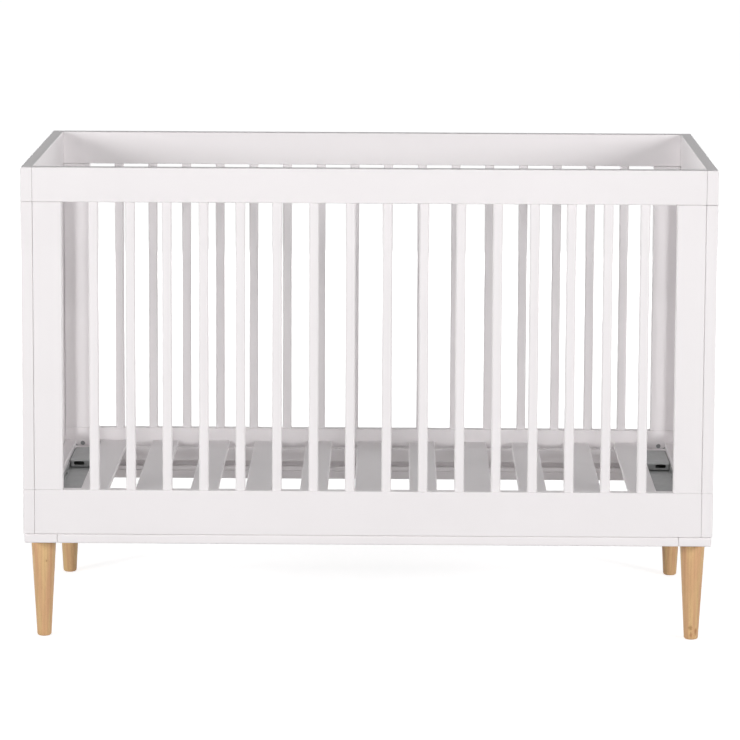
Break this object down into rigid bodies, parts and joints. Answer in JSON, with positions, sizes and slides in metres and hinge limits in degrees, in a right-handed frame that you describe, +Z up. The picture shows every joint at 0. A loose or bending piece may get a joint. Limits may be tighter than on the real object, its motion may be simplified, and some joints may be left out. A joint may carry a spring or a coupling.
{
  "type": "baby crib",
  "caption": "Full-size baby crib: slatted sides and ends on a flat base frame with turned tapered legs, and a slatted mattress deck that bolts on at several heights.",
  "frame": {"origin": "on the floor under the middle of the crib", "axes": "+X along the crib's length, +Y from the front to the rear long side, +Z up"},
  "size_m": [1.376, 0.772, 0.956],
  "materials": {
    "white_lacquer": "satin white lacquer on sanded hardwood and board",
    "oiled_beech": "turned beech with a clear satin finish",
    "zinc_steel": "zinc-plated pressed sheet steel"
  },
  "bodies": {
    "crib_frame": {"base_front_board": "white_lacquer", "base_left_board": "white_lacquer", "base_rear_board": "white_lacquer", "base_right_board": "white_lacquer", "front_bottom_rail": "white_lacquer", "front_left_leg": "oiled_beech", "front_left_stile": "white_lacquer", "front_right_leg": "oiled_beech", "front_right_stile": "white_lacquer", "front_slat_01": "white_lacquer", "front_slat_02": "white_lacquer", "front_slat_03": "white_lacquer", "front_slat_04": "white_lacquer", "front_slat_05": "white_lacquer", "front_slat_06": "white_lacquer", "front_slat_07": "white_lacquer", "front_slat_08": "white_lacquer", "front_slat_09": "white_lacquer", "front_slat_10": "white_lacquer", "front_slat_11": "white_lacquer", "front_slat_12": "white_lacquer", "front_slat_13": "white_lacquer", "front_slat_14": "white_lacquer", "front_slat_15": "white_lacquer", "front_slat_16": "white_lacquer", "front_top_rail": "white_lacquer", "left_end_bottom_rail_and_slats": "white_lacquer", "left_end_front_stile": "white_lacquer", "left_end_rear_stile": "white_lacquer", "left_end_top_rail": "white_lacquer", "rear_bottom_rail": "white_lacquer", "rear_left_leg": "oiled_beech", "rear_left_stile": "white_lacquer", "rear_right_leg": "oiled_beech", "rear_right_stile": "white_lacquer", "rear_slat_01": "white_lacquer", "rear_slat_02": "white_lacquer", "rear_slat_03": "white_lacquer", "rear_slat_04": "white_lacquer", "rear_slat_05": "white_lacquer", "rear_slat_06": "white_lacquer", "rear_slat_07": "white_lacquer", "rear_slat_08": "white_lacquer", "rear_slat_09": "white_lacquer", "rear_slat_10": "white_lacquer", "rear_slat_11": "white_lacquer", "rear_slat_12": "white_lacquer", "rear_slat_13": "white_lacquer", "rear_slat_14": "white_lacquer", "rear_slat_15": "white_lacquer", "rear_slat_16": "white_lacquer", "rear_top_rail": "white_lacquer", "right_end_bottom_rail_and_slats": "white_lacquer", "right_end_front_stile": "white_lacquer", "right_end_rear_stile": "white_lacquer", "right_end_top_rail": "white_lacquer"},
    "mattress_support": {"mattress_deck": "white_lacquer", "left_end_bracket": "zinc_steel", "right_end_bracket": "zinc_steel"}
  },
  "joints": [
    {"name": "mattress_height", "type": "slide", "parent": "crib_frame", "child": "mattress_support", "axis": [0, 0, 1], "range_m": [0, 0.24]}
  ]
}
